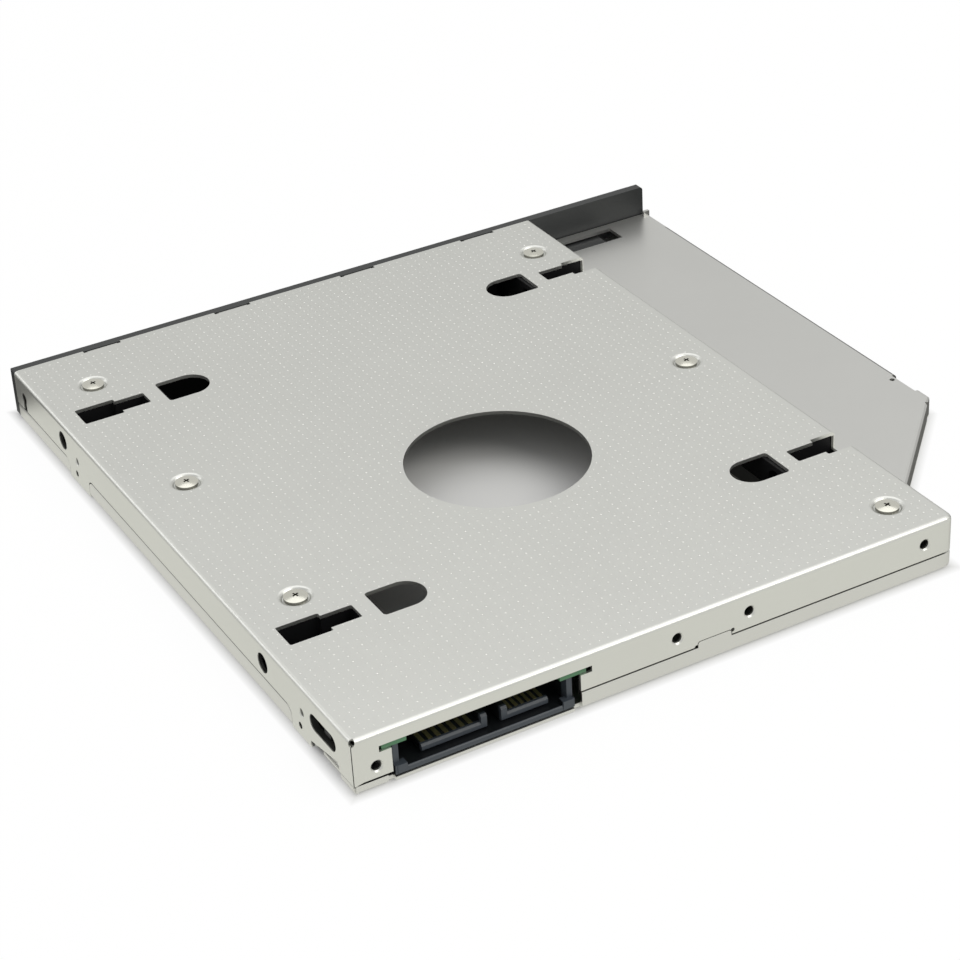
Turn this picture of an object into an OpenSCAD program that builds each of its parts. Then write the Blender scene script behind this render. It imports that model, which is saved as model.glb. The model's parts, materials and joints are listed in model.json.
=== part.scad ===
// Adaptor caddy that carries a 2.5 inch drive in a slim optical drive bay.
// It lies with its dotted base shell up. Inside each module x runs along the rear edge from
// the left wall, y runs from the rear wall to the faceplate and z runs up from the underside;
// from_corner() then moves the origin to the middle of the underside.

/* [Envelope] */
// Width of the deep part of the body, across the rear wall
body_w = 102.5; // [101.8:0.1:102.8]
// Width over the wing and the faceplate
full_w = 128.2; // [127.8:0.1:128.4]
// Depth of the metal body, from the rear wall to the back of the faceplate
body_d = 126.1; // [125.9:0.1:126.3]
// Height of the body
body_h = 9; // [8.8:0.1:9.4]
// Thickness of the faceplate
bezel_t = 2.4; // [2:0.1:3]

/* [Sheet metal] */
// Thickness of the aluminium sheet
sheet_t = 0.6; // [0.5:0.05:0.6]
// Outside radius of the folds
bend_r = 0.75; // [0.7:0.05:0.9]
// Radius of the rounded corner between the rear and right walls
corner_r = 1.5; // [1.4:0.1:1.8]
// Height of the top face of the wing
wing_h = 3.4; // [3.3:0.1:3.5]
// Height of the seam between shell and cover on the rear wall
rear_seam_z = 3.05; // [2.9:0.05:3.2]
// Height of the seam between shell and cover on the left wall
left_seam_z = 3.3; // [3.1:0.05:3.4]

/* [Drive bay] */
// Width of the 2.5 inch drive
drive_w = 69.85; // [69.6:0.05:70.1]
// Length of the 2.5 inch drive
drive_l = 100; // [99.8:0.1:100.5]
// Distance of the drive's first side screw from its connector end
drive_hole_y = 14; // [13.8:0.1:14.2]
// Spacing of the drive's side screws
drive_hole_pitch = 76.6; // [76.4:0.1:76.8]
// Diameter of the round window in the base shell
window_d = 30; // [28:0.5:32]

/* [Connectors] */
// Pitch of the signal contacts, and of all contacts of the drive socket
signal_pitch = 1.27; // [1.27:0.01:1.27]
// Pitch of the power contacts of the host plug
power_pitch = 1; // [1:0.01:1]
// Thickness of the plug's tongues
tongue_t = 1.23; // [1.2:0.01:1.25]
// Thickness of the adaptor board
board_t = 0.9; // [0.8:0.1:1]

/* [Fasteners] */
// Radius of the thread of the M2 screws
m2_r = 1; // [0.95:0.01:1]
// Radius of a tapped M2 hole in sheet metal
m2_tap_r = 0.8; // [0.78:0.01:0.85]
// Clearance radius for the drive's M3 side screws
m3_clear_r = 1.6; // [1.6:0.05:1.7]

/* [Mode switch] */
// Distance between the switch's neighbouring positions
switch_step = 1.5; // [1:0.1:1.5]

/* [Hidden] */
$fn = 64;

// Small working gaps: eps lets a cut pass clean through a face
eps = 0.5;
gap = 0.1;

// Bay: the drive lies against the shell, centred on mid_x, with its connector end at drive_y
mid_x = 54;
drive_y = 14;
hole_rows = [drive_y + drive_hole_y, drive_y + drive_hole_y + drive_hole_pitch];
shell_under_z = body_h - sheet_t;
bay_x0 = mid_x - drive_w / 2 - 0.18;
bay_x1 = mid_x + drive_w / 2 + 0.18;
bay_y0 = drive_y - 0.4;
bay_y1 = drive_y + drive_l + 0.6;
side_hole_z = shell_under_z - 2.6;
rim_z = 3.9;

// Colours of the materials
shell_grey = [0.76, 0.76, 0.73];
plain_grey = [0.74, 0.74, 0.72];
bezel_grey = [0.24, 0.25, 0.26];
black_nylon = [0.09, 0.09, 0.1];
slate = [0.22, 0.24, 0.28];
contact_gold = [0.72, 0.62, 0.35];
steel = [0.8, 0.79, 0.74];
brass = [0.8, 0.66, 0.35];

// Shell openings
window_centre = [mid_x, mid_x];
d_window_x = [18.3, 26.7];
d_window_w = 6.8;
slot_x = [3.5, 10.4, 15.5];
slot_wide = 5.2;
slot_narrow = 3.6;
slot_wrap = 3;

// Screws through the shell: a dimple holds each head below the dotted face
screw_xy = [[9.75, 114.2], [9.75, 75.6], [9.75, 36.5], [96.1, 114], [96.1, 63.6], [95.8, 8]];
dimple_r = 2.75;
dimple_wall_r = 2.45;
dimple_floor_r = 2.05;
dimple_lip = 0.12;
dimple_depth = 0.5;
dimple_floor_z = body_h - dimple_depth;

// Tapped holes in the rear wall as [x, z]
rear_taps = [[3.7, 3.6], [52.6, 5.75], [65.1, 5.75], [96.9, 5.75]];
tap_collar_y = 1.8;
tap_mouth = 0.22;

// Rear wall openings
board_z = 5.8;
board_slot_x = [4.2, 38.2];
plug_opening_x = [6.1, 36.3];
tab_relief_d = 0.65;
rear_tab_x = [56, 62];
rear_tab_z = 3.9;
corner_seam_z = 1.45;
corner_step_z = 1.7;
corner_hole_d = 0.9;
corner_hole_z = 8.55;
corner_gap = 0.13;

// Left wall: cover strips lie in these notches as [y0, y1]
strip_a = [19.2, 94.5];
strip_b = [102.8, body_d];
lock_y = [15.7, 98.9];
switch_window_y = [4.9, 12.9];
switch_window_z = [3.85, 6.6];
switch_lip_x = 1.1;
sloped_flange_x = [0.95, 1.42];
front_slot_y = 122.3;
front_slot_d = 2;
front_slot_w = 1.4;
lock_r = 1;
lock_depth = 0.4;
lock_z = 4.5;

// Folded tabs along the shell's front edge
front_tab_x = [13.4, 38.3, 63.2, 88.1];
front_tab_w = 5.5;
front_tab_z = 5.8;
relief_w = 0.7;
tab_bend_r = 0.65;

// Wing outline: the rear corner is cut at 45 degrees along x - y = wing_diag
wing_diag = 89.3;
wing_corner_r = 2;
wing_bend_r = 0.8;
wing_x0 = 98.6;
wing_y0 = 13.2;
lip_gap_y = [41.6, 48];
lip_gap_depth = 1;
lip_end_y = 118.7;
lip_end_depth = 0.3;
wing_slot = [[104.5, 118.6], [119.6, 124.2]];

// Host plug
plug_x = [6.5, 35.2];
plug_wall = 0.9;
plug_floor_z = 1.65;
plug_z = [0.5, board_z - 0.03];
plug_back_y = 8.5;
plug_cavity_y = 6.5;
plug_step_y = 0.7;
plug_step_z = 2.3;
tongue_y = 1.5;
tongue_z = 1.75;
tongue_top_z = tongue_z + tongue_t;
key_h = 2.4;
key_w = 0.95;
signal_tongue_x = [11.4, 21.8];
power_tongue_x = [24.1, 31.7];
plug_signal_x0 = 11.95;
plug_power_x0 = 26;
contact_t = 0.15;

// Drive socket: 7 signal and 15 power contacts, 25 pitches from end to end
socket_cx = 50;
socket_w = 42;
socket_y = [10.3, 13.9];
socket_z = [2.6, 7.6];
nose_w = 37;
nose_y = 18.4;
nose_z = [3, 7];
socket_slot_z = [4.2, 5.6];
socket_slot_y = 13.4;
socket_s1_x = socket_cx - 12.5 * signal_pitch;
socket_p1_x = socket_s1_x + 11 * signal_pitch;
board_front_y = 10.2;

// Board fixings
board_screw_xy = [[41.5, 6.2], [75, 6.4]];

// Mode switch
switch_y = 8.9;
switch_x = [1.5, 4.6];
switch_z = [sheet_t + 0.05, 7.9];

module from_corner() {
    translate([-full_w / 2, -(body_d + bezel_t) / 2, 0]) children();
}

// Extrude a y-z outline along x, or an x-z outline along y
module along_x(x0, x1) {
    translate([x0, 0, 0]) rotate([90, 0, 90]) linear_extrude(x1 - x0) children();
}

module along_y(y0, y1) {
    translate([0, y1, 0]) rotate([90, 0, 0]) linear_extrude(y1 - y0) children();
}

module box(x, y, z) {
    translate([x[0], y[0], z[0]]) cube([x[1] - x[0], y[1] - y[0], z[1] - z[0]]);
}

// Rectangle with rounded corners between two opposite corner points
module round_rect(x, y, r) {
    translate([x[0] + r, y[0]]) square([x[1] - x[0] - 2 * r, y[1] - y[0]]);
    translate([x[0], y[0] + r]) square([x[1] - x[0], y[1] - y[0] - 2 * r]);
    for (cx = [x[0] + r, x[1] - r], cy = [y[0] + r, y[1] - r])
        translate([cx, cy]) circle(r = r);
}

// Quarter of a sheet fold in the corner of the first quadrant, centred at (r, r)
module fold(r, t) {
    intersection() {
        difference() {
            translate([r, r]) circle(r = r);
            translate([r, r]) circle(r = r - t);
        }
        square([r, r]);
    }
}

module top_fold() {
    translate([0, body_h]) mirror([0, 1]) fold(bend_r, sheet_t);
}

// Mirror a left-hand feature to the right-hand side of the bay
module both_sides() {
    children();
    translate([2 * mid_x, 0, 0]) mirror([1, 0, 0]) children();
}

// ---- Base shell ----

module d_window() {
    round_rect([d_window_x[0], d_window_x[1] - d_window_w / 2],
        [-d_window_w / 2, d_window_w / 2], 0.6);
    translate([d_window_x[0] + 2, -d_window_w / 2])
        square([d_window_x[1] - d_window_w / 2 - d_window_x[0] - 2, d_window_w]);
    translate([d_window_x[1] - d_window_w / 2, 0]) circle(d = d_window_w);
}

module stepped_slot(extra = 0) {
    round_rect([slot_x[0] - extra, slot_x[1] + extra],
        [-slot_wide / 2 - extra, slot_wide / 2 + extra], 0.3);
    translate([slot_x[1] - 1, -slot_narrow / 2 - extra])
        square([2, slot_narrow + 2 * extra]);
    round_rect([slot_x[1] - 1, slot_x[2] + extra],
        [-slot_narrow / 2 - extra, slot_narrow / 2 + extra], 0.3);
}

module shell_face_openings() {
    translate(window_centre) circle(d = window_d, $fn = 128);
    both_sides() for (y = hole_rows) translate([0, y]) {
        d_window();
        stepped_slot();
    }
}

module left_wall_outline() {
    difference() {
        translate([0, 0.05]) square([body_d, body_h - bend_r - 0.05]);
        polygon([[-1, -1], [-1, corner_seam_z], [4.4, corner_seam_z], [4.4, 2.3], [4.9, 2.8],
            [13.3, 1.2], [13.3, -1]]);
        round_rect(strip_a, [-4, left_seam_z], 1.5);
        round_rect([strip_b[0], strip_b[1] + 4], [-4, left_seam_z - 0.1], 1.5);
        for (y = lock_y) translate([y + 0.7, 1.9]) circle(d = 1.1);
        for (y = hole_rows) translate([y, side_hole_z]) circle(r = m3_clear_r);
        round_rect(switch_window_y, switch_window_z, 1.35);
        translate([front_slot_y, 5.5]) circle(d = front_slot_d);
        translate([front_slot_y - front_slot_w / 2, 2.3]) square([front_slot_w, 3.2]);
    }
}

// The switch window's edge is drawn inwards all round
module switch_window_lip() {
    grow = 0.4;
    along_x(sheet_t - 0.01, switch_lip_x) difference() {
        round_rect([switch_window_y[0] - grow, switch_window_y[1] + grow],
            [switch_window_z[0] - grow, switch_window_z[1] + grow], 1.35 + grow);
        round_rect(switch_window_y, switch_window_z, 1.35);
    }
}

module rear_wall_outline() {
    difference() {
        translate([0, rear_seam_z])
            square([body_w - corner_r, body_h - bend_r - rear_seam_z]);
        translate([plug_opening_x[0], 0])
            square([plug_opening_x[1] - plug_opening_x[0], board_z + board_t + 0.05]);
        translate([board_slot_x[0], board_z - 0.05])
            square([board_slot_x[1] - board_slot_x[0], board_t + 0.1]);
        round_rect(rear_tab_x, [0, rear_tab_z], 0.5);
        for (p = [[rear_tab_x[0] - 0.2, rear_seam_z], [rear_tab_x[1] + 0.1, rear_tab_z - 0.2]])
            translate(p) circle(d = tab_relief_d);
        for (p = rear_taps) translate(p) circle(r = m2_tap_r);
    }
    difference() {
        polygon([[0, corner_seam_z], [0.3, corner_seam_z], [1.6, corner_step_z],
            [plug_opening_x[0], corner_step_z], [plug_opening_x[0], rear_seam_z + 0.01],
            [0, rear_seam_z + 0.01]]);
        translate(rear_taps[0]) circle(r = m2_tap_r);
    }
}

module right_wall_outline() {
    difference() {
        translate([corner_r, rear_seam_z])
            square([body_d - corner_r, body_h - bend_r - rear_seam_z]);
        translate([wing_y0 - 0.7, 0]) square([body_d, wing_h + gap]);
        for (y = hole_rows) translate([y - slot_wide / 2, body_h - slot_wrap])
            square([slot_wide, slot_wrap + 1]);
    }
}

// Sweep an outline round the right rear corner; its x runs inwards from the outer face
module round_corner() {
    translate([body_w - corner_r, corner_r, 0]) rotate([0, 0, -90])
        rotate_extrude(angle = 90) translate([corner_r, 0]) mirror([1, 0]) children();
}

// The body's outline moved inwards, its right rear corner rounded
module body_outline(inset) {
    translate([inset, inset]) square([body_w - corner_r - inset, body_d - inset]);
    translate([inset, corner_r]) square([body_w - 2 * inset, body_d - corner_r]);
    translate([body_w - corner_r, corner_r]) circle(r = corner_r - inset);
}

// The left rear corner is a mitre of both folds
module mitred_corner() {
    intersection() {
        along_x(0, bend_r) top_fold_block();
        along_y(0, bend_r) top_fold_block();
    }
}

module top_fold_block() {
    translate([0, body_h - bend_r]) intersection() {
        square([bend_r, bend_r]);
        translate([bend_r, 0]) circle(r = bend_r);
    }
}

// The walls don't join at the mitred corner: a seam ends in a round relief hole
module corner_seam() {
    rotate([0, 0, 45]) {
        translate([-1, -corner_gap / 2, -1]) cube([2.3, corner_gap, corner_hole_z + 1]);
        translate([-1, 0, corner_hole_z]) rotate([0, 90, 0])
            cylinder(d = corner_hole_d, h = 2.3);
    }
}

module front_tab(x0) {
    translate([0, body_d - 0.02, 0]) mirror([0, 1, 0]) {
        along_x(x0, x0 + front_tab_w)
            translate([0, body_h]) mirror([0, 1]) fold(tab_bend_r, sheet_t);
        box([x0, x0 + front_tab_w], [0, sheet_t], [front_tab_z, body_h - tab_bend_r]);
    }
}

module dimple_cup(p) {
    translate([p[0], p[1], dimple_floor_z - sheet_t])
        cylinder(r1 = dimple_floor_r + 0.4, r2 = dimple_wall_r + 0.45, h = dimple_depth);
}

module dimple_bore(p) {
    translate([p[0], p[1], dimple_floor_z])
        cylinder(r1 = dimple_floor_r, r2 = dimple_wall_r, h = dimple_depth - dimple_lip);
    translate([p[0], p[1], body_h - dimple_lip])
        cylinder(r1 = dimple_wall_r, r2 = dimple_r, h = dimple_lip);
    translate([p[0], p[1], dimple_floor_z - sheet_t - eps])
        cylinder(r = m2_r + 0.15, h = sheet_t + 2 * eps);
}

// A tapped hole is drawn inwards from the rear wall, which leaves a rounded mouth
module tap_collar(p) {
    translate([p[0], sheet_t - 0.01, p[1]]) rotate([-90, 0, 0])
        cylinder(r = m2_tap_r + 0.5, h = tap_collar_y - sheet_t + 0.01);
}

module tap_bore(p) {
    translate([p[0], -eps, p[1]]) rotate([-90, 0, 0]) cylinder(r = m2_tap_r, h = 3);
    translate([p[0], 0, p[1]]) rotate([-90, 0, 0])
        cylinder(r1 = m2_tap_r + tap_mouth, r2 = m2_tap_r, h = tap_mouth);
}

module shell_sheet() {
    translate([0, 0, shell_under_z]) linear_extrude(sheet_t) difference() {
        body_outline(bend_r);
        for (x0 = front_tab_x) {
            translate([x0 - relief_w, body_d - 0.02 - tab_bend_r])
                square([front_tab_w + 2 * relief_w, 3]);
        }
    }
    along_x(bend_r, body_w - corner_r) top_fold();
    along_y(bend_r, body_d) top_fold();
    translate([body_w, 0, 0]) mirror([1, 0, 0]) along_y(corner_r, body_d) top_fold();
    round_corner() {
        top_fold();
        translate([0, rear_seam_z]) square([sheet_t, body_h - bend_r - rear_seam_z]);
    }
    mitred_corner();
    along_x(0, sheet_t) left_wall_outline();
    switch_window_lip();
    along_y(0, sheet_t) rear_wall_outline();
    along_x(body_w - sheet_t, body_w) right_wall_outline();
    for (x0 = front_tab_x) front_tab(x0);
    for (p = screw_xy) dimple_cup(p);
    for (p = rear_taps) tap_collar(p);
}

module base_shell() {
    color(shell_grey) from_corner() difference() {
        shell_sheet();
        translate([0, 0, body_h - slot_wrap]) linear_extrude(slot_wrap + eps)
            intersection() {
                shell_face_openings();
                translate([bend_r + 0.6, 0]) square([full_w, body_d]);
            }
        for (p = screw_xy) dimple_bore(p);
        for (p = rear_taps) tap_bore(p);
        corner_seam();
        // Stamped locks: shallow dimples that hold the cover's side strips
        for (y = lock_y) translate([lock_depth - lock_r, y, lock_z]) sphere(r = lock_r);
    }
}

// ---- Bottom cover ----

// Side strip of the cover: it stands flush with the shell's wall, then steps inwards behind it
module strip_outline(seam_z, inner_h) {
    back_x = sheet_t + 0.08;
    polygon([[0, bend_r], [0, seam_z - 0.6], [0.06, seam_z - 0.32], [0.14, seam_z - 0.28],
        [0.35, seam_z - 0.55], [back_x, seam_z - 0.4], [back_x, seam_z + inner_h],
        [back_x + sheet_t, seam_z + inner_h], [back_x + sheet_t, seam_z - 0.7],
        [sheet_t, seam_z - 1.05], [sheet_t, bend_r]]);
    fold(bend_r, sheet_t);
}

module rounded_end_cut(y, dir) {
    along_x(-eps, 3) translate([y, 0]) scale([dir, 1]) difference() {
        translate([-1, 1.7]) square([2.3, 4]);
        translate([1.3, 1.7]) circle(r = 1.3);
    }
}

// Plain flange that ends a little above the fold
module low_flange_outline() {
    fold(bend_r, sheet_t);
    translate([0, bend_r]) square([sheet_t, corner_seam_z - 0.07 - bend_r]);
}

module left_strips() {
    end_gap = 0.07;
    difference() {
        along_y(strip_a[0] + end_gap, strip_a[1] - end_gap) strip_outline(left_seam_z, 0.5);
        rounded_end_cut(strip_a[0] + end_gap, 1);
        translate([0, 2 * (strip_a[1] - end_gap), 0]) mirror([0, 1, 0])
            rounded_end_cut(strip_a[1] - end_gap, 1);
    }
    difference() {
        along_y(strip_b[0] + end_gap, strip_b[1] - 0.2) strip_outline(left_seam_z - 0.1, 0.5);
        rounded_end_cut(strip_b[0] + end_gap, 1);
        box([sheet_t, 3], [front_slot_y - 1.5, front_slot_y + 1.5], [2.5, 5]);
    }
    along_y(0.3, 4) low_flange_outline();
    // Sloped inner flange behind the switch window
    along_x(sloped_flange_x[0], sloped_flange_x[1])
        polygon([[5.2, 0], [5.2, 3.3], [9.6, 2.6], [10.8, 1.6], [10.8, 0]]);
}

module rear_strips() {
    tab_x = [rear_tab_x[0] + 0.12, rear_tab_x[1] - 0.12];
    along_x(plug_opening_x[1] + gap, tab_x[0]) strip_outline(rear_seam_z, 1.2);
    along_x(tab_x[1], body_w - corner_r) strip_outline(rear_seam_z, 1.2);
    round_corner() strip_outline(rear_seam_z, 1.2);
    along_x(tab_x[0], tab_x[1]) {
        fold(bend_r, sheet_t);
        translate([0, bend_r]) square([sheet_t, 1.3]);
    }
    along_y(0, sheet_t) round_rect(tab_x, [bend_r, rear_tab_z - 0.12], 0.45);
    along_x(0.3, plug_opening_x[0] - 0.8) low_flange_outline();
}

module bay_rims() {
    translate([2 * bay_x0, 0, 0]) mirror([1, 0, 0]) translate([bay_x0, 0, 0])
        along_y(bay_y0 + 3, bay_y1 - 3) bay_rim_outline();
    translate([bay_x1, 0, 0]) along_y(bay_y0 + 3, bay_y1 - 3) bay_rim_outline();
}

module bay_rim_outline() {
    fold(bend_r, sheet_t);
    translate([0, bend_r]) square([sheet_t, rim_z - bend_r]);
}

module cover_floor() {
    side_gap = sheet_t + 0.02;
    diag = wing_diag - side_gap * sqrt(2);
    edge_x = full_w - side_gap;
    difference() {
        union() {
            intersection() {
                body_outline(bend_r);
                square([body_w - bend_r, body_d - 0.2]);
            }
            polygon([[body_w - 6, wing_y0 + 1], [wing_y0 + 1 + diag, wing_y0 + 1],
                [edge_x, edge_x - diag], [edge_x, body_d - 0.2], [body_w - 6, body_d - 0.2]]);
            translate([plug_x[0], 0.1]) square([plug_x[1] - plug_x[0], bend_r]);
        }
        round_rect([bay_x0 - bend_r, bay_x1 + bend_r], [bay_y0 + 3, bay_y1 - 3], 0.5);
        round_rect([bay_x0, bay_x1], [bay_y0, bay_y1], 1);
    }
}

module bottom_cover() {
    color(plain_grey) from_corner() difference() {
        union() {
            linear_extrude(sheet_t) cover_floor();
            left_strips();
            rear_strips();
            translate([body_w, 0, 0]) mirror([1, 0, 0])
                along_y(corner_r, wing_y0 - 1.5) strip_outline(rear_seam_z, 1.2);
            bay_rims();
        }
        // Notch below the mode switch
        box([0, switch_x[0]], [10.9, 13.2], [-1, 1]);
        // The sheet is pressed thinner under the host plug
        box([plug_x[0] - 0.15, plug_x[1] + 0.15], [-1, plug_back_y + 0.15],
            [plug_z[0] - 0.03, 1]);
    }
}

// ---- Wing plate ----

// Outline of the wing, moved inwards by inset along its two lipped edges
module wing_outline(inset, y0, y1) {
    diag = wing_diag - inset * sqrt(2);
    edge_x = full_w - inset;
    polygon([[wing_x0 - inset, y0], [y0 + diag, y0], [edge_x, edge_x - diag],
        [edge_x, y1], [wing_x0 - inset, y1]]);
}

// What a fold's outside radius takes off the corner of a solid edge, u inwards
module fold_waste() {
    r = wing_bend_r + 0.02;
    round_points = [for (a = [30, 60, 90])
        [wing_bend_r - r * cos(a), wing_h - wing_bend_r + r * sin(a)]];
    polygon(concat([[-1, wing_h - r], [-0.02, wing_h - r]], round_points,
        [[r, wing_h + 1], [-1, wing_h + 1]]));
}

module wing_corner_waste() {
    centre = [full_w - wing_corner_r, full_w - wing_diag + wing_corner_r * tan(22.5)];
    difference() {
        translate([centre[0], centre[1] - 2 * wing_corner_r]) cube([4, 2 * wing_corner_r, 4]);
        translate([centre[0], centre[1], -1]) cylinder(r = wing_corner_r + 0.04, h = 6);
    }
}

module wing_plate() {
    color(plain_grey) from_corner() difference() {
        translate([0, 0, gap]) linear_extrude(wing_h - gap) wing_outline(0, wing_y0, body_d - 0.2);
        translate([0, 0, -1]) linear_extrude(wing_h - sheet_t + 1)
            wing_outline(sheet_t, wing_y0 - 5, body_d + 5);
        translate([full_w, 0, 0]) mirror([1, 0, 0]) along_y(20, body_d + 1) fold_waste();
        translate([wing_y0 + wing_diag, wing_y0, 0]) rotate([0, 0, 45])
            along_x(-5, 50) fold_waste();
        wing_corner_waste();
        // The lip is cut away beside the small lock hole and near the faceplate
        box([full_w - lip_gap_depth, full_w + 1], lip_gap_y, [-1, wing_h + 1]);
        box([full_w - 1, full_w + 1], [lip_end_y, body_d], [-1, wing_h - sheet_t + 0.1]);
        box([full_w - lip_end_depth, full_w + 1], [lip_end_y, body_d], [-1, wing_h + 1]);
        box(wing_slot[0], wing_slot[1], [0, 5]);
        translate([full_w - 1.8, lip_gap_y[1] - 1.2, 0]) cylinder(d = 0.9, h = 5);
    }
    // Small ear folded up beside the faceplate's end
    color(plain_grey) from_corner()
        box([full_w - 1.3, full_w - 0.05], [body_d - 1, body_d - 0.4],
            [wing_h - 0.3, wing_h + 0.8]);
}

// ---- Faceplate ----

bezel_y0 = body_d + 0.05;
bezel_y1 = body_d + bezel_t;
bezel_x = [0.1, full_w - 0.85];
tongue_xs = [[28, 34], [51, 57], [74, 80]];
bezel_tongue_z = [4.2, 5.4];
bezel_tongue_y = body_d - 5.5;
wing_tongue_x = [108.2, 116.2];

module faceplate() {
    color(bezel_grey) from_corner() {
        intersection() {
            along_y(bezel_y0, bezel_y1) round_rect(bezel_x, [0, body_h - 0.1], 0.6);
            along_x(bezel_x[0], bezel_x[1])
                round_rect([bezel_y0 - 3, bezel_y1], [0, body_h - 0.1], 0.9);
            linear_extrude(body_h) round_rect(bezel_x, [bezel_y0 - 3, bezel_y1], 0.6);
        }
        for (x = tongue_xs)
            box(x, [bezel_tongue_y, bezel_y0 + 0.1], bezel_tongue_z);
        box(wing_tongue_x, [bezel_tongue_y - 1, bezel_y0 + 0.1], [1.2, 2.3]);
    }
}

// ---- Plastic frame inside ----

rail_top_z = shell_under_z - gap;
rail_z0 = sheet_t + 0.15;
rail_y = [14, body_d - 1.1];
pocket_z = 2.9;
insert_r = 1.7;
insert_z = [3.3, 7.7];

module rail_cuts(screws) {
    for (y = hole_rows) {
        translate([0, y, pocket_z]) linear_extrude(body_h) stepped_slot(0.1);
        translate([0, y, side_hole_z]) rotate([0, 90, 0]) cylinder(r = m3_clear_r, h = bay_x0);
    }
    for (p = screws) {
        translate([p[0], p[1], insert_z[0] - gap]) cylinder(r = insert_r + 0.02, h = body_h);
        translate([p[0], p[1], insert_z[1] + gap]) cylinder(r = dimple_wall_r + 0.6, h = body_h);
    }
}

module left_rail() {
    color(black_nylon) from_corner() difference() {
        union() {
            box([1.5, bay_x0 - bend_r - 0.1], rail_y, [rail_z0, rail_top_z]);
            box([bay_x0 - bend_r - 0.2, bay_x0], [rail_y[0], bay_y1],
                [rim_z + 0.2, rail_top_z]);
        }
        rail_cuts([screw_xy[0], screw_xy[1], screw_xy[2]]);
    }
}

module right_rail() {
    x0 = bay_x1 + bend_r + 0.1;
    x1 = wing_x0 - 0.2;
    mirrored = [for (i = [3, 4, 5]) [2 * mid_x - screw_xy[i][0], screw_xy[i][1]]];
    color(black_nylon) from_corner() difference() {
        union() {
            box([x0, x1], [2.6, rail_y[1]], [rail_z0, rail_top_z]);
            box([x1 - 0.1, body_w - sheet_t - gap], rail_y, [wing_h + 0.2, rail_top_z]);
            box([bay_x1, x0 + 0.1], [rail_y[0], bay_y1], [rim_z + 0.2, rail_top_z]);
        }
        translate([2 * mid_x, 0, 0]) mirror([1, 0, 0]) rail_cuts(mirrored);
    }
}

module front_bar() {
    color(black_nylon) from_corner() difference() {
        box([bay_x0 + 0.4, bay_x1 - 0.4], [bay_y1 + 0.6, rail_y[1]], [rail_z0, rail_top_z]);
        for (x = tongue_xs)
            box([x[0] - 0.2, x[1] + 0.2], [bezel_tongue_y - 0.4, body_d],
                [bezel_tongue_z[0] - 0.15, bezel_tongue_z[1] + 0.15]);
    }
}

// ---- Adaptor board ----

module adaptor_board() {
    color([0.25, 0.48, 0.33]) from_corner()
        translate([0, 0, board_z]) linear_extrude(board_t) difference() {
            polygon([[4.75, 0.35], [37.4, 0.35], [37.4, 2.6],
                [78, 2.6], [78, board_front_y], [14, board_front_y], [14, 13.2], [4.75, 13.2]]);
            translate([8.6, -1]) square([24.5, plug_cavity_y + 1.1]);
            for (p = board_screw_xy) translate(p) circle(r = m2_r + 0.15);
        }
}

module on_board(p, size) {
    translate([p[0] - size[0] / 2, p[1] - size[1] / 2, board_z + board_t + 0.02]) cube(size);
}

module board_capacitors() {
    color([0.72, 0.58, 0.42]) from_corner()
        for (x = [46, 50, 54, 58]) on_board([x, 7.6], [1.6, 0.8, 0.8]);
}

module board_resistors() {
    color([0.1, 0.1, 0.11]) from_corner()
        for (x = [47, 51, 55, 59]) on_board([x, 5], [1.6, 0.8, 0.45]);
}

// ---- Host plug ----

// Bent strip: along the tongue, up behind the housing, and a foot under the board
module plug_contact_outline() {
    y0 = tongue_y + 0.75;
    z0 = tongue_top_z - 0.1;
    y1 = plug_back_y + 0.8;
    polygon([[y0, z0], [y0, z0 + contact_t], [y1 - contact_t, z0 + contact_t],
        [y1 - contact_t, board_z - 0.02], [y1 + 1, board_z - 0.02],
        [y1 + 1, board_z - 0.02 - contact_t], [y1, board_z - 0.02 - contact_t], [y1, z0]]);
}

module plug_contact_row(x0, pitch, count, width, grow = 0) {
    for (i = [0:count - 1])
        along_x(x0 + i * pitch - width / 2 - grow, x0 + i * pitch + width / 2 + grow)
            if (grow > 0) {
                translate([tongue_y + 0.7, tongue_top_z - 0.1 - grow])
                    square([plug_back_y, contact_t + 2 * grow]);
            } else {
                plug_contact_outline();
            }
}

module plug_tongue(x, key_x) {
    // The leading edges are chamfered to guide the mating connector
    c = 0.3;
    along_x(x[0], x[1]) polygon([[tongue_y, tongue_z + c], [tongue_y, tongue_top_z - c],
        [tongue_y + c, tongue_top_z], [plug_back_y, tongue_top_z],
        [plug_back_y, tongue_z], [tongue_y + c, tongue_z]]);
    along_x(key_x, key_x + key_w) polygon([[tongue_y, tongue_z + c],
        [tongue_y, tongue_z + key_h - c], [tongue_y + c, tongue_z + key_h],
        [plug_back_y, tongue_z + key_h], [plug_back_y, tongue_z + c]]);
}

module plug_shell() {
    front_y = 0.1;
    bevel = 0.15;
    difference() {
        along_y(front_y, plug_back_y) round_rect(plug_x, plug_z, 0.4);
        along_x(plug_x[0] + plug_wall, plug_x[1] - plug_wall)
            polygon([[-1, plug_floor_z - bevel], [front_y, plug_floor_z - bevel],
                [front_y + bevel, plug_floor_z], [plug_cavity_y, plug_floor_z],
                [plug_cavity_y, board_z + 1], [-1, board_z + 1]]);
        along_x(plug_x[0] - 1, plug_x[1] + 1)
            polygon([[front_y - 1, 0], [front_y + 0.35, 0], [front_y + 0.35, plug_z[0]],
                [front_y, plug_z[0] + 0.35], [front_y - 1, plug_z[0] + 0.35]]);
        // The side walls stand back a little above the keying blocks
        box([0, body_w], [-1, plug_step_y], [plug_step_z, body_h]);
    }
}

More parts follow.
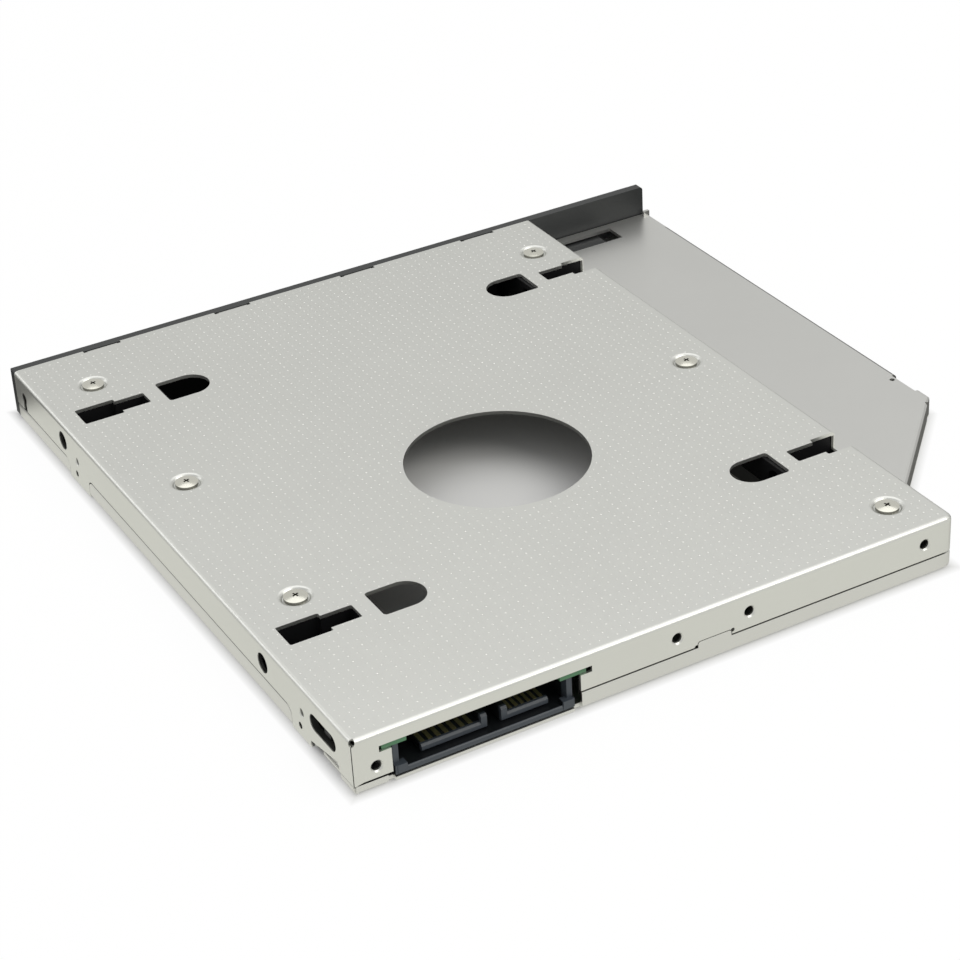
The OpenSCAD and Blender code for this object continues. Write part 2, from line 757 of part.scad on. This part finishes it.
module plug_housing() {
    block_w = 1.5;
    color(slate) from_corner() difference() {
        union() {
            plug_shell();
            plug_tongue(signal_tongue_x, signal_tongue_x[1] - key_w);
            plug_tongue(power_tongue_x, power_tongue_x[0]);
            for (x = [plug_x[0] + 0.35, plug_x[1] - 0.35 - block_w])
                box([x, x + block_w], [0.02, 1.3], [plug_z[0] + 0.4, plug_step_z]);
        }
        plug_contact_row(plug_signal_x0, signal_pitch, 7, 0.68, 0.02);
        plug_contact_row(plug_power_x0, power_pitch, 6, 0.55, 0.02);
    }
}

module plug_signal_contacts() {
    color(contact_gold) from_corner() plug_contact_row(plug_signal_x0, signal_pitch, 7, 0.68);
}

module plug_power_contacts() {
    color(contact_gold) from_corner() plug_contact_row(plug_power_x0, power_pitch, 6, 0.55);
}

// Soldered brackets beside a connector: an upright and a foot under the board
module hold_down(x, y, z0, dir) {
    translate([x, y, z0]) scale([dir, 1, 1]) {
        cube([0.3, 1.8, board_z - 0.02 - z0]);
        translate([0, 0, board_z - 0.32 - z0]) cube([0.9, 1.8, 0.3]);
    }
}

module plug_hold_downs() {
    color(steel) from_corner() {
        translate([plug_x[0] - 0.02, 0, 0]) mirror([1, 0, 0])
            hold_down(0, 6.2, 2.3, 1);
        hold_down(plug_x[1] + 0.02, 6.2, 2.3, 1);
    }
}

// ---- Drive socket ----

module socket_contact_outline() {
    z0 = socket_slot_z[0] - 0.1;
    y0 = socket_y[0] - 0.35;
    polygon([[nose_y - 0.5, z0], [nose_y - 0.5, z0 + contact_t],
        [y0 + contact_t, z0 + contact_t], [y0 + contact_t, board_z - 0.02],
        [y0 - 1.1, board_z - 0.02], [y0 - 1.1, board_z - 0.02 - contact_t],
        [y0, board_z - 0.02 - contact_t], [y0, z0]]);
}

module socket_contact_row(x0, count, grow = 0) {
    for (i = [0:count - 1]) {
        x = x0 + i * signal_pitch;
        along_x(x - 0.3 - grow, x + 0.3 + grow)
            if (grow > 0) {
                translate([socket_y[0] - 1, socket_slot_z[0] - 0.1 - grow])
                    square([nose_y - socket_y[0] + 0.55, contact_t + 2 * grow]);
            } else {
                socket_contact_outline();
            }
    }
}

module socket_slot(x, key_x) {
    box(x, [socket_slot_y, nose_y + 1], socket_slot_z);
    box([key_x, key_x + 1.2], [socket_slot_y, nose_y + 1],
        [socket_slot_z[0], socket_slot_z[1] + 0.9]);
}

module socket_housing() {
    signal_x = [socket_s1_x - 1.1, socket_s1_x + 9.6];
    power_x = [socket_p1_x - 2, socket_p1_x + 18.9];
    color(black_nylon) from_corner() difference() {
        union() {
            box([socket_cx - socket_w / 2, socket_cx + socket_w / 2], socket_y, socket_z);
            box([socket_cx - nose_w / 2, socket_cx + nose_w / 2],
                [socket_y[1] - 0.1, nose_y], nose_z);
        }
        socket_slot(signal_x, signal_x[1] - 1.2);
        socket_slot(power_x, power_x[0]);
        socket_contact_row(socket_s1_x, 7, 0.02);
        socket_contact_row(socket_p1_x, 15, 0.02);
    }
}

module socket_signal_contacts() {
    color(contact_gold) from_corner() socket_contact_row(socket_s1_x, 7);
}

module socket_power_contacts() {
    color(contact_gold) from_corner() socket_contact_row(socket_p1_x, 15);
}

module socket_hold_downs() {
    color(steel) from_corner()
        for (x = [socket_cx - 18.3, socket_cx + 16.7])
            translate([x, board_front_y - 1.6, board_z - 0.32])
                cube([1.6, 1.6, 0.3]);
}

// ---- Fasteners ----

// Domed pan-head screw pointing down, its seat at z = 0
module pan_screw(head_r, head_h, length) {
    dome_r = 7;
    difference() {
        intersection() {
            cylinder(r = head_r, h = head_h);
            translate([0, 0, head_h - dome_r]) sphere(r = dome_r);
        }
        for (a = [20, 110]) rotate([0, 0, a])
            translate([-0.55, -0.15, head_h - 0.4]) cube([1.1, 0.3, 1]);
    }
    translate([0, 0, -length]) cylinder(r = m2_r, h = length + 0.01);
}

module case_screws() {
    color(steel) from_corner() for (p = screw_xy)
        translate([p[0], p[1], dimple_floor_z + 0.02]) pan_screw(1.86, 0.72, 4.4);
}

module thread_inserts() {
    color(brass) from_corner() for (p = screw_xy)
        translate([p[0], p[1], insert_z[0]]) difference() {
            cylinder(r = insert_r, h = insert_z[1] - insert_z[0]);
            translate([0, 0, -eps]) cylinder(r = m2_r + 0.03, h = 6);
        }
}

module board_screws() {
    color(steel) from_corner() for (p = board_screw_xy)
        translate([p[0], p[1], board_z - 0.02]) mirror([0, 0, 1]) pan_screw(1.7, 0.6, 2.4);
}

module board_weld_nuts() {
    z0 = board_z + board_t + 0.02;
    color(steel) from_corner() for (p = board_screw_xy)
        translate([p[0], p[1], z0]) difference() {
            cylinder(r = 1.9, h = shell_under_z - z0 - 0.02);
            translate([0, 0, -eps]) cylinder(r = m2_r + 0.03, h = 3);
        }
}

// ---- Mode switch ----

module switch_body() {
    travel = switch_step + 1.4;
    color(black_nylon) from_corner() difference() {
        box(switch_x, [4.6, 13.1], switch_z);
        box([0, 3.7], [switch_y - travel, switch_y + travel], [4.2, 5.5]);
    }
}

module switch_slider() {
    color(black_nylon) from_corner() {
        box([0.75, 3.5], [switch_y - 1, switch_y + 1], [4.3, 5.4]);
    }
}

module switch_terminals() {
    color(steel) from_corner() for (y = [5.6, 7.8, 10, 12.2])
        box([switch_x[1] + 0.02, switch_x[1] + 0.8], [y - 0.25, y + 0.25],
            [board_z - 0.22, board_z - 0.02]);
}

base_shell();
bottom_cover();
wing_plate();
faceplate();
left_rail();
right_rail();
front_bar();
adaptor_board();
plug_housing();
plug_signal_contacts();
plug_power_contacts();
plug_hold_downs();
socket_housing();
socket_signal_contacts();
socket_power_contacts();
socket_hold_downs();
case_screws();
thread_inserts();
board_screws();
board_weld_nuts();
board_capacitors();
board_resistors();
switch_body();
switch_slider();
switch_terminals();
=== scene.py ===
import json
import math
import random

import bpy
from mathutils import Matrix, Vector


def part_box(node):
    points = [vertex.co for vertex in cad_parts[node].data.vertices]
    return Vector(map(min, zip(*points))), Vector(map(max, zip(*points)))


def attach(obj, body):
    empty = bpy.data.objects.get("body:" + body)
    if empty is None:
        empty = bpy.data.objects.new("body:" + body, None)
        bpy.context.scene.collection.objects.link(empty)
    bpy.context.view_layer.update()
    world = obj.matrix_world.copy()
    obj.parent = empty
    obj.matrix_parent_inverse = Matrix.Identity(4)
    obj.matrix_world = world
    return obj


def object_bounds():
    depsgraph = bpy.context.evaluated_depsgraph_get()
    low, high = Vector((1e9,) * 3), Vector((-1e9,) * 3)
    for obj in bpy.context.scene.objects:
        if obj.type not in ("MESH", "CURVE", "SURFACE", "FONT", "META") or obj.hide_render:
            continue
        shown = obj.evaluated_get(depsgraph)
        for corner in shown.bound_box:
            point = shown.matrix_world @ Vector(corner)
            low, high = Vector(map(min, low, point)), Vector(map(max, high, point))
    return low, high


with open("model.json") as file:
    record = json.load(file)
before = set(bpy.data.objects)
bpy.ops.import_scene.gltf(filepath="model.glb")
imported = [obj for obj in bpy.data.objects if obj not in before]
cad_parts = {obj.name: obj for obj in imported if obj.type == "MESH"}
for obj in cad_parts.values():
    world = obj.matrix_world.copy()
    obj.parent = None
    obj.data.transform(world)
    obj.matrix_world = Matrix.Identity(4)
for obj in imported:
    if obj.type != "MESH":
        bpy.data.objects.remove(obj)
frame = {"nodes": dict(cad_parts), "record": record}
cad_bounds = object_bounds()
nodes = frame["nodes"]

MM = 0.001

# The whole caddy with its wing and faceplate, and its body alone, in millimetres
LEFT, REAR = (value / MM for value in cad_bounds[0][:2])
FULL_W, FULL_D = (size / MM for size in (cad_bounds[1] - cad_bounds[0])[:2])
shell_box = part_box("base_shell")
BODY_W, BODY_D = (size / MM for size in (shell_box[1] - shell_box[0])[:2])
BODY_H = shell_box[1].z / MM

# The wing's rear corner is cut along x - y = WING_DIAGONAL
WING_DIAGONAL = 89.3
# The lip along the wing's outer edge, which gets painted shade: its width, and where it runs along y
LIP_W = 0.7
LIP_Y = (48.0, 118.7)


def corner(x, y, z):
    """A point given from the rear left bottom corner in millimetres, in the row frame in metres."""
    return Vector(((x + LEFT) * MM, (y + REAR) * MM, z * MM))


# ---------------------------------------------------------------- shader nodes

def new_material(name):
    mat = bpy.data.materials.new(name)
    mat.use_nodes = True
    tree = mat.node_tree
    tree.nodes.clear()
    out = tree.nodes.new("ShaderNodeOutputMaterial")
    bsdf = tree.nodes.new("ShaderNodeBsdfPrincipled")
    tree.links.new(bsdf.outputs["BSDF"], out.inputs["Surface"])
    return mat, tree, bsdf


def object_coords(tree):
    return tree.nodes.new("ShaderNodeTexCoord").outputs["Object"]


def noise(tree, coords, scale, detail=3.0, rough=0.55):
    node = tree.nodes.new("ShaderNodeTexNoise")
    node.inputs["Scale"].default_value = scale
    node.inputs["Detail"].default_value = detail
    node.inputs["Roughness"].default_value = rough
    tree.links.new(coords, node.inputs["Vector"])
    return node.outputs["Fac"]


def grey(level):
    return (level, level, level)


def ramp(tree, fac, low, high):
    """A blend between two (position, colour) stops."""
    node = tree.nodes.new("ShaderNodeValToRGB")
    for element, (position, colour) in zip(node.color_ramp.elements, (low, high)):
        element.position = position
        element.color = (*colour, 1.0)
    tree.links.new(fac, node.inputs["Fac"])
    return node.outputs["Color"]


def calc(tree, op, *args):
    """A math node; each argument is a number or the output of another node."""
    node = tree.nodes.new("ShaderNodeMath")
    node.operation = op
    for slot, value in zip(node.inputs, args):
        if isinstance(value, (int, float)):
            slot.default_value = value
        else:
            tree.links.new(value, slot)
    return node.outputs[0]


def step(tree, value, low, high):
    """Rises from 0 at low to 1 at high, both in millimetres."""
    node = tree.nodes.new("ShaderNodeMapRange")
    node.inputs["From Min"].default_value = low * MM
    node.inputs["From Max"].default_value = high * MM
    tree.links.new(value, node.inputs["Value"])
    return node.outputs["Result"]


def place(tree):
    """The shaded point's x, y and z in the row frame."""
    xyz = tree.nodes.new("ShaderNodeSeparateXYZ")
    tree.links.new(tree.nodes.new("ShaderNodeNewGeometry").outputs["Position"], xyz.inputs[0])
    return xyz.outputs


def mix_shaders(tree, factor, first, second):
    """The first shader where the factor is 0, the second where it is 1."""
    node = tree.nodes.new("ShaderNodeMixShader")
    tree.links.new(factor, node.inputs["Fac"])
    tree.links.new(first, node.inputs[1])
    tree.links.new(second, node.inputs[2])
    return node.outputs["Shader"]


# ---------------------------------------------------------------- masks by place on the object, for painted shade

# Half the width of a mask's soft edge, in millimetres
BLUR, SHARP_BLUR, LIP_BLUR = 0.04, 0.02, 0.1


def above(tree, value, edge, blur=BLUR):
    """1 where the value is more than edge millimetres."""
    return step(tree, value, edge - blur, edge + blur)


def opposite(tree, mask):
    return calc(tree, "SUBTRACT", 1, mask)


def below(tree, value, edge, blur=BLUR):
    return opposite(tree, above(tree, value, edge, blur))


def both(tree, *masks):
    """1 where every mask is 1; a number among them scales the result."""
    product = masks[0]
    for mask in masks[1:]:
        product = calc(tree, "MULTIPLY", product, mask)
    return product


def either(tree, *masks):
    """The largest mask; a number among them is a lower limit."""
    largest = masks[0]
    for mask in masks[1:]:
        largest = calc(tree, "MAXIMUM", largest, mask)
    return largest


# How far in from the body's sides, rear and top the painted shade on its inner faces begins
INNER_SIDE, INNER_REAR, INNER_TOP = 0.16, 0.52, 0.69
# The grooves of the seams, which get painted shade: how far in from the left and rear faces and from
# the right face, and from which height. The rounded rear right corner has none.
GROOVE_IN, GROOVE_RIGHT, GROOVE_Z, ROUND_CORNER = 0.07, 0.1, 1.1, 1.6
# The plug, from the rear face inwards: its rim, the blocks between its tongues, and the faces of
# the tongues; then the heights above which the blocks and the tongues stay light, outside the painted
# shade of the cavity
RIM_Y, BLOCK_Y, TONGUE_Y = 0.36, 1.38, (1.42, 2.22)
BLOCK_Z, TONGUE_Z = 2.22, 1.82


def inside_shade_mask(tree):
    """1 on the faces inside the sheet-metal body, which are darkened there as painted shade."""
    x, y, z = place(tree)
    return both(tree, above(tree, x, LEFT + INNER_SIDE), below(tree, x, LEFT + BODY_W - INNER_SIDE),
                above(tree, y, REAR + INNER_REAR), below(tree, z, BODY_H - INNER_TOP))


def lip_and_groove_shade_mask(tree):
    """1 on the fold along the wing's outer edge and in the grooves of the seams, which are darkened as
    painted shade.
    """
    x, y, z = place(tree)
    lip = both(tree, above(tree, x, LEFT + FULL_W - LIP_W, LIP_BLUR),
               above(tree, y, REAR + LIP_Y[0]), below(tree, y, REAR + LIP_Y[1]))
    behind_walls = both(tree, above(tree, x, LEFT + GROOVE_IN, SHARP_BLUR),
                        above(tree, y, REAR + GROOVE_IN, SHARP_BLUR),
                        below(tree, x, LEFT + BODY_W - GROOVE_RIGHT), above(tree, z, GROOVE_Z))
    in_corner = both(tree, above(tree, x, LEFT + BODY_W - ROUND_CORNER),
                     below(tree, y, REAR + ROUND_CORNER))
    return either(tree, lip, both(tree, behind_walls, opposite(tree, in_corner)))


def upright_shade_mask(tree):
    """1 on upright faces, such as the sides of the screw heads down in their dimples, which are
    darkened as painted shade.
    """
    normal = tree.nodes.new("ShaderNodeSeparateXYZ")
    tree.links.new(tree.nodes.new("ShaderNodeNewGeometry").outputs["True Normal"], normal.inputs[0])
    return calc(tree, "LESS_THAN", calc(tree, "ABSOLUTE", normal.outputs["Z"]), 0.5)


def plug_cavity_shade_mask(tree):
    """1 deep in the plug's cavity, which is darkened as painted shade; the rim, the blocks and the
    front of the tongues are left lighter.
    """
    _, y, z = place(tree)
    rim = below(tree, y, REAR + RIM_Y)
    blocks = both(tree, below(tree, y, REAR + BLOCK_Y), above(tree, z, BLOCK_Z))
    tongues = both(tree, above(tree, y, REAR + TONGUE_Y[0]), below(tree, y, REAR + TONGUE_Y[1]),
                   above(tree, z, TONGUE_Z))
    return opposite(tree, either(tree, rim, blocks, tongues))


# ---------------------------------------------------------------- finishes

COAT_ROUGH = 0.12
GRAIN_HEIGHT = 0.1 * MM
BLOTCH_SCALE = 45.0


def shade(colour, factor):
    return tuple(min(1.0, channel * factor) for channel in colour)


def surface(name, colour, rough, metallic=0.0, variation=0.06, grain=2500, bump=0.03,
            coat=0.0, specular=0.5, spread=0.05, mask=None, painted_shade_level=0.2):
    """A finish whose colour and roughness vary a little, with a fine grain in its surface.
    Where the mask is 1 its colour is darkened by the given factor, as painted shade."""
    mat, tree, bsdf = new_material(name)
    coords = object_coords(tree)
    base = ramp(tree, noise(tree, coords, BLOTCH_SCALE),
                (0.3, shade(colour, 1 - variation)), (0.7, shade(colour, 1 + variation)))
    # Painted shade: the masked places take a darkened copy of the colour
    if mask:
        mix = tree.nodes.new("ShaderNodeMix")
        mix.data_type = "RGBA"
        tree.links.new(mask(tree), mix.inputs["Factor"])
        tree.links.new(base, mix.inputs[6])
        mix.inputs[7].default_value = (*shade(colour, painted_shade_level), 1.0)
        base = mix.outputs[2]
    tree.links.new(base, bsdf.inputs["Base Color"])
    fine = noise(tree, coords, grain, 4.0)
    roughness = ramp(tree, fine, (0.25, grey(rough - spread)), (0.75, grey(rough + spread)))
    tree.links.new(roughness, bsdf.inputs["Roughness"])
    bsdf.inputs["Metallic"].default_value = metallic
    bsdf.inputs["Specular IOR Level"].default_value = specular
    bsdf.inputs["Coat Weight"].default_value = coat
    bsdf.inputs["Coat Roughness"].default_value = COAT_ROUGH
    relief = tree.nodes.new("ShaderNodeBump")
    relief.inputs["Strength"].default_value = bump
    relief.inputs["Distance"].default_value = GRAIN_HEIGHT
    tree.links.new(fine, relief.inputs["Height"])
    tree.links.new(relief.outputs["Normal"], bsdf.inputs["Normal"])
    return mat


# Looks with a mask darken the masked places as painted shade
LOOKS = {
    "dotted_shell": dict(colour=(0.76, 0.765, 0.735), rough=0.38, metallic=0.93, variation=0.012,
                         grain=1500, bump=0.015, spread=0.03, mask=inside_shade_mask),
    "plain_sheet": dict(colour=(0.74, 0.74, 0.72), rough=0.33, metallic=0.93, variation=0.012,
                        grain=1500, bump=0.01, spread=0.015, mask=lip_and_groove_shade_mask, painted_shade_level=0.22),
    "faceplate_plastic": dict(colour=(0.035, 0.037, 0.038), rough=0.5, variation=0.05, bump=0.12),
    "black_nylon": dict(colour=(0.006, 0.006, 0.007), rough=0.6, variation=0.1,
                        grain=1500, bump=0.1, specular=0.25),
    "green_laminate": dict(colour=(0.06, 0.19, 0.09), rough=0.3, variation=0.12,
                           grain=800, coat=0.3),
    "slate_plastic": dict(colour=(0.05, 0.06, 0.075), rough=0.4, grain=2000, bump=0.08,
                          mask=plug_cavity_shade_mask, painted_shade_level=0.12),
    "gold_plate": dict(colour=(0.30, 0.26, 0.13), rough=0.38, metallic=0.8),
    "nickel_steel": dict(colour=(0.80, 0.79, 0.71), rough=0.17, metallic=0.95, variation=0.03,
                         bump=0.01, mask=upright_shade_mask, painted_shade_level=0.3),
    "brass_insert": dict(colour=(0.62, 0.45, 0.18), rough=0.35, metallic=0.9),
    "ceramic_tan": dict(colour=(0.45, 0.3, 0.18), rough=0.6, variation=0.1, grain=3000, bump=0.1),
    "resistor_black": dict(colour=(0.012, 0.012, 0.014), rough=0.35, variation=0.1,
                           grain=3000, bump=0.05),
    "switch_knob": dict(colour=(0.014, 0.014, 0.016), rough=0.5, variation=0.1,
                        grain=3000, bump=0.1),
}
finishes = {name: surface(name, **look) for name, look in LOOKS.items()}

# The crests of the raised dots carry a painted highlight, coloured brighter than the sheet between them
dot_highlight_finish = surface("dotted_shell_highlight", (0.9, 0.9, 0.87), rough=0.3, metallic=0.93,
                       variation=0.01, grain=1500, bump=0.02)

slots = {part["node"]: part["material_slot"] for part in frame["record"]["subparts"]}
for name, obj in nodes.items():
    obj.data.materials.clear()
    obj.data.materials.append(finishes[slots[name]])


# ---------------------------------------------------------------- raised dots of the base shell

DOT_PITCH, DOT_R, DOT_H = 1.5, 0.165, 0.056
FIRST_DOT = (1.64, 1.9)
# Bare margins along the right and the front edge
RIGHT_MARGIN, FRONT_MARGIN = 1.3, 1.0
# How far a dome's foot goes below the sheet, and the radius and height of its shoulder
DOT_FOOT = 0.02
SHOULDER_R, SHOULDER_H = 0.72, 0.62

# What the dots keep away from: places from the rear left corner, sizes with their bare margin.
# The round window has its centre at x = y = MID. Each row has slots and a D-shaped window on both
# sides of MID, given for the left side as (half size along y, from x, to x).
MID, ROUND_R = 54.0, 15.35
ROWS = (28.0, 104.6)
ROW_WINDOWS = ((2.9, 3.2, 10.7), (2.1, 10.0, 15.8), (3.7, 18.0, 23.3))
D_END_X, D_END_R = 23.3, 3.7
# The right-hand slots run out through the right edge
NOTCH_X, NOTCH_HALF = 97.0, 2.8
SCREWS = ((9.75, 114.2), (9.75, 75.6), (9.75, 36.5), (96.1, 114.0), (96.1, 63.6), (95.8, 8.0))
SCREW_R = 3.05
# Four tabs are folded down at the front, each from 1.2 mm before to 6.7 mm after its place
FRONT_TABS, TABS_Y = (13.4, 38.3, 63.2, 88.1), 124.2
TAB_BEFORE, TAB_AFTER = 1.2, 6.7


def dot_allowed(x, y):
    """Dots are embossed only where the sheet is flat and whole."""
    if math.hypot(x - MID, y - MID) < ROUND_R:
        return False
    if any(math.hypot(x - screw_x, y - screw_y) < SCREW_R for screw_x, screw_y in SCREWS):
        return False
    if y > TABS_Y and any(tab - TAB_BEFORE < x < tab + TAB_AFTER for tab in FRONT_TABS):
        return False
    from_left = min(x, 2 * MID - x)
    for row in ROWS:
        off_row = abs(y - row)
        if any(off_row < half and low < from_left < high for half, low, high in ROW_WINDOWS):
            return False
        if math.hypot(from_left - D_END_X, off_row) < D_END_R:
            return False
        if off_row < NOTCH_HALF and x > NOTCH_X:
            return False
    return True


def dome(verts, faces, centre, radius, height, around=8):
    """A low dome standing on the sheet; its foot goes a little below the face."""
    base = len(verts)
    for ring_r, z in ((radius, -DOT_FOOT), (radius * SHOULDER_R, height * SHOULDER_H)):
        for i in range(around):
            angle = 2 * math.pi * i / around
            verts.append(centre + Vector((ring_r * math.cos(angle), ring_r * math.sin(angle), z)) * MM)
    verts.append(centre + Vector((0, 0, height)) * MM)
    for i in range(around):
        j = (i + 1) % around
        faces.append((base + i, base + j, base + around + j, base + around + i))
        faces.append((base + around + i, base + around + j, base + 2 * around))
    faces.append(tuple(base + i for i in reversed(range(around))))


def steps(start, stop, pitch):
    """Places from start, one pitch apart, up to stop."""
    at = start
    while at < stop:
        yield at
        at += pitch


def make_dots():
    random.seed(7)
    verts, faces = [], []
    for x in steps(FIRST_DOT[0], BODY_W - RIGHT_MARGIN, DOT_PITCH):
        for y in steps(FIRST_DOT[1], BODY_D - FRONT_MARGIN, DOT_PITCH):
            if dot_allowed(x, y):
                size = random.uniform(0.8, 1.2)
                height = DOT_H * size * random.uniform(0.8, 1.2)
                dome(verts, faces, corner(x, y, BODY_H), DOT_R * size, height)
    mesh = bpy.data.meshes.new("shell_dots")
    mesh.from_pydata([tuple(vert) for vert in verts], [], faces)
    mesh.shade_smooth()
    mesh.materials.append(dot_highlight_finish)
    dots = bpy.data.objects.new("shell_dots", mesh)
    bpy.context.scene.collection.objects.link(dots)
    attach(dots, "caddy")


make_dots()


# ---------------------------------------------------------------- table

# The table's brightness: to the camera around the object; in the metal's reflections in front of
# it, how much less on its far side, and below it
CAMERA_WHITE, CAMERA_GLOW = 1.02, 0.94
MIRROR_GLOW, FAR_LOSS, INNER_GLOW = 0.76, 0.66, 0.04
MIRROR_COLOUR = (1.0, 1.0, 0.93, 1.0)
# A ray shorter than this, in millimetres, comes from a face that rests on the table
RESTING_GAP = (0.8, 1.2)
# Where the brightness changes, from and to, in millimetres outwards from the footprint's edge
CAMERA_EDGE, MIRROR_EDGE = (-1, 1.5), (-1, 0.3)
# The dark far side fades in past the body's right face, its rear face and the front
RIGHT_FADE, REAR_FADE, FRONT_FADE = (-2, 6), (-6, 14), (-2, 4)
# The table's size, in metres, and how far it lies below the object, in millimetres
TABLE_SIZE, TABLE_DROP = 6.0, 0.2


def floor_material():
    """White table. The camera sees it evenly lit around the object and truly shaded below it;
    in the metal's reflections it is bright in front and to the left, dark on the far side."""
    mat, tree, bsdf = new_material("floor_white")
    table_grey = ramp(tree, noise(tree, object_coords(tree), 3.0), (0.3, grey(0.68)), (0.7, grey(0.69)))
    tree.links.new(table_grey, bsdf.inputs["Base Color"])
    bsdf.inputs["Roughness"].default_value = 0.6

    x, y, _ = place(tree)
    body_right = LEFT + BODY_W
    slant = calc(tree, "SUBTRACT", x, y)
    slant_edge = WING_DIAGONAL + LEFT - REAR

    def past(value, edge, fade, stretch=1):
        """Rises from 0 to 1 over the fade's two distances past the edge."""
        return step(tree, value, edge + stretch * fade[0], edge + stretch * fade[1])

    def beside(fade):
        """0 on the object's footprint, 1 around it; the wing's slanted corner counts as around."""
        past_side = past(calc(tree, "ABSOLUTE", x), FULL_W / 2, fade)
        past_end = past(calc(tree, "ABSOLUTE", y), FULL_D / 2, fade)
        # x - y grows about 1.4 times as fast as the distance from the slanted edge
        past_slant = both(tree, past(x, body_right, fade), past(slant, slant_edge, fade, 1.4))
        return either(tree, past_side, past_end, past_slant)

    far = either(tree, both(tree, past(x, body_right, RIGHT_FADE), past(y, REAR, REAR_FADE)),
                 past(y, REAR + FULL_D, FRONT_FADE))
    shown = both(tree, beside(CAMERA_EDGE), CAMERA_GLOW)
    far_glow = calc(tree, "SUBTRACT", MIRROR_GLOW, both(tree, far, FAR_LOSS))
    # The faces that rest on the table are lit too, so that they can be looked at from below
    path = tree.nodes.new("ShaderNodeLightPath")
    resting = opposite(tree, step(tree, path.outputs["Ray Length"], *RESTING_GAP))
    mirrored = either(tree, both(tree, beside(MIRROR_EDGE), far_glow),
                      both(tree, resting, MIRROR_GLOW), INNER_GLOW)

    to_camera = tree.nodes.new("ShaderNodeEmission")
    to_camera.inputs["Strength"].default_value = CAMERA_WHITE
    to_metal = tree.nodes.new("ShaderNodeEmission")
    to_metal.inputs["Color"].default_value = MIRROR_COLOUR
    tree.links.new(mirrored, to_metal.inputs["Strength"])
    seen = mix_shaders(tree, shown, bsdf.outputs["BSDF"], to_camera.outputs["Emission"])
    top = mix_shaders(tree, path.outputs["Is Camera Ray"], to_metal.outputs["Emission"], seen)
    # From below the table is not there, so that the underside can be seen
    clear = tree.nodes.new("ShaderNodeBsdfTransparent")
    backfacing = tree.nodes.new("ShaderNodeNewGeometry").outputs["Backfacing"]
    sides = mix_shaders(tree, backfacing, top, clear.outputs["BSDF"])
    tree.links.new(sides, tree.nodes["Material Output"].inputs["Surface"])
    return mat


bpy.ops.mesh.primitive_plane_add(size=TABLE_SIZE, location=(0, 0, -TABLE_DROP * MM))
floor = bpy.context.object
floor.name = "floor"
floor.data.materials.append(floor_material())


# ---------------------------------------------------------------- light

world = bpy.data.worlds.new("studio")
bpy.context.scene.world = world
world.use_nodes = True
sky = world.node_tree.nodes["Background"].inputs
sky["Color"].default_value = (1.0, 1.0, 0.98, 1.0)
sky["Strength"].default_value = 0.6


def softbox(name, where, size, power, colour=(1, 1, 1)):
    """A rectangular light that faces the object, in metres and watts."""
    light = bpy.data.lights.new(name, "AREA")
    light.shape = "RECTANGLE"
    light.size, light.size_y = size
    light.energy = power
    light.color = colour
    obj = bpy.data.objects.new(name, light)
    bpy.context.scene.collection.objects.link(obj)
    obj.location = where
    obj.rotation_euler = (-Vector(where)).to_track_quat("-Z", "Y").to_euler()


# It faces the fold above the rear wall, which mirrors it to the camera
softbox("softbox_rear", (0.36, -0.46, 0.68), (0.7, 0.45), 2.4, (1, 0.99, 0.93))
softbox("softbox_top", (0.1, 0.25, 0.95), (1.2, 1.0), 2.6)
softbox("softbox_left", (-0.6, 0.85, 0.5), (0.5, 0.35), 0.7)


# ---------------------------------------------------------------- camera

# The view's direction from +Y towards +X, its height above the table and its roll, in degrees
AZIMUTH, ELEVATION, ROLL = 28.2251, 30.8378, -3.2487
# The point the camera turns about and its distance from it, in metres
AIM, DISTANCE = Vector((-0.011802, -0.013003, 0.0090)), 0.414575
SENSOR, LENS, SHIFT = 36.0, 98.8, (-0.0175, -0.0121)


def make_camera():
    data = bpy.data.cameras.new("camera")
    data.sensor_fit = "HORIZONTAL"
    data.sensor_width = SENSOR
    data.lens = LENS
    data.shift_x, data.shift_y = SHIFT
    data.clip_start, data.clip_end = 0.01, 20
    camera = bpy.data.objects.new("camera", data)
    bpy.context.scene.collection.objects.link(camera)
    azimuth, elevation, roll = (math.radians(angle) for angle in (AZIMUTH, ELEVATION, ROLL))
    look = Vector((math.sin(azimuth) * math.cos(elevation),
                   math.cos(azimuth) * math.cos(elevation), -math.sin(elevation)))
    level = look.cross(Vector((0, 0, 1))).normalized()
    right = level * math.cos(roll) + level.cross(look) * math.sin(roll)
    rotation = Matrix((right, right.cross(look), -look)).transposed()
    camera.matrix_world = Matrix.Translation(AIM - look * DISTANCE) @ rotation.to_4x4()
    return camera


scene = bpy.context.scene
scene.camera = make_camera()
scene.view_settings.view_transform = "Standard"
scene.view_settings.look = "None"
scene.view_settings.exposure = 0.0
